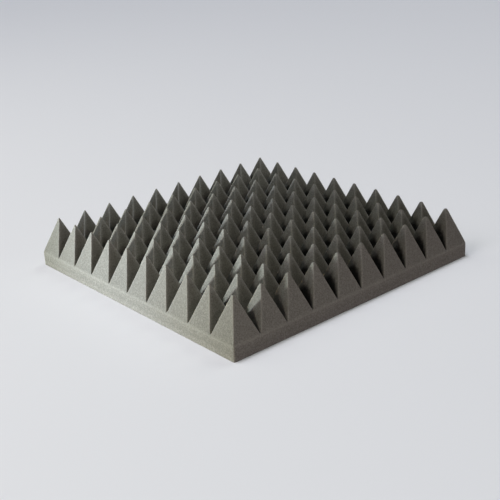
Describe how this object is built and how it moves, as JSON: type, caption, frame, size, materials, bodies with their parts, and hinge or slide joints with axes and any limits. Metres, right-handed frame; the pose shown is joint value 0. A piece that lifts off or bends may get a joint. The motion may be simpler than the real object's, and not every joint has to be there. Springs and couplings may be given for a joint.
{
  "type": "acoustic foam panel",
  "caption": "Square acoustic foam panel: a flat back, low straight side walls, and a front covered in soft-tipped four-sided pyramids.",
  "frame": {"origin": "middle of the flat back face, which lies on the surface or is glued to the wall", "axes": "+Z out of the front of the panel, along the pyramids; X and Y along the panel's sides"},
  "size_m": [0.6, 0.6, 0.1],
  "materials": {
    "foam": "matte open-cell polyurethane foam"
  },
  "bodies": {
    "root": {"foam_panel": "foam"}
  },
  "joints": []
}
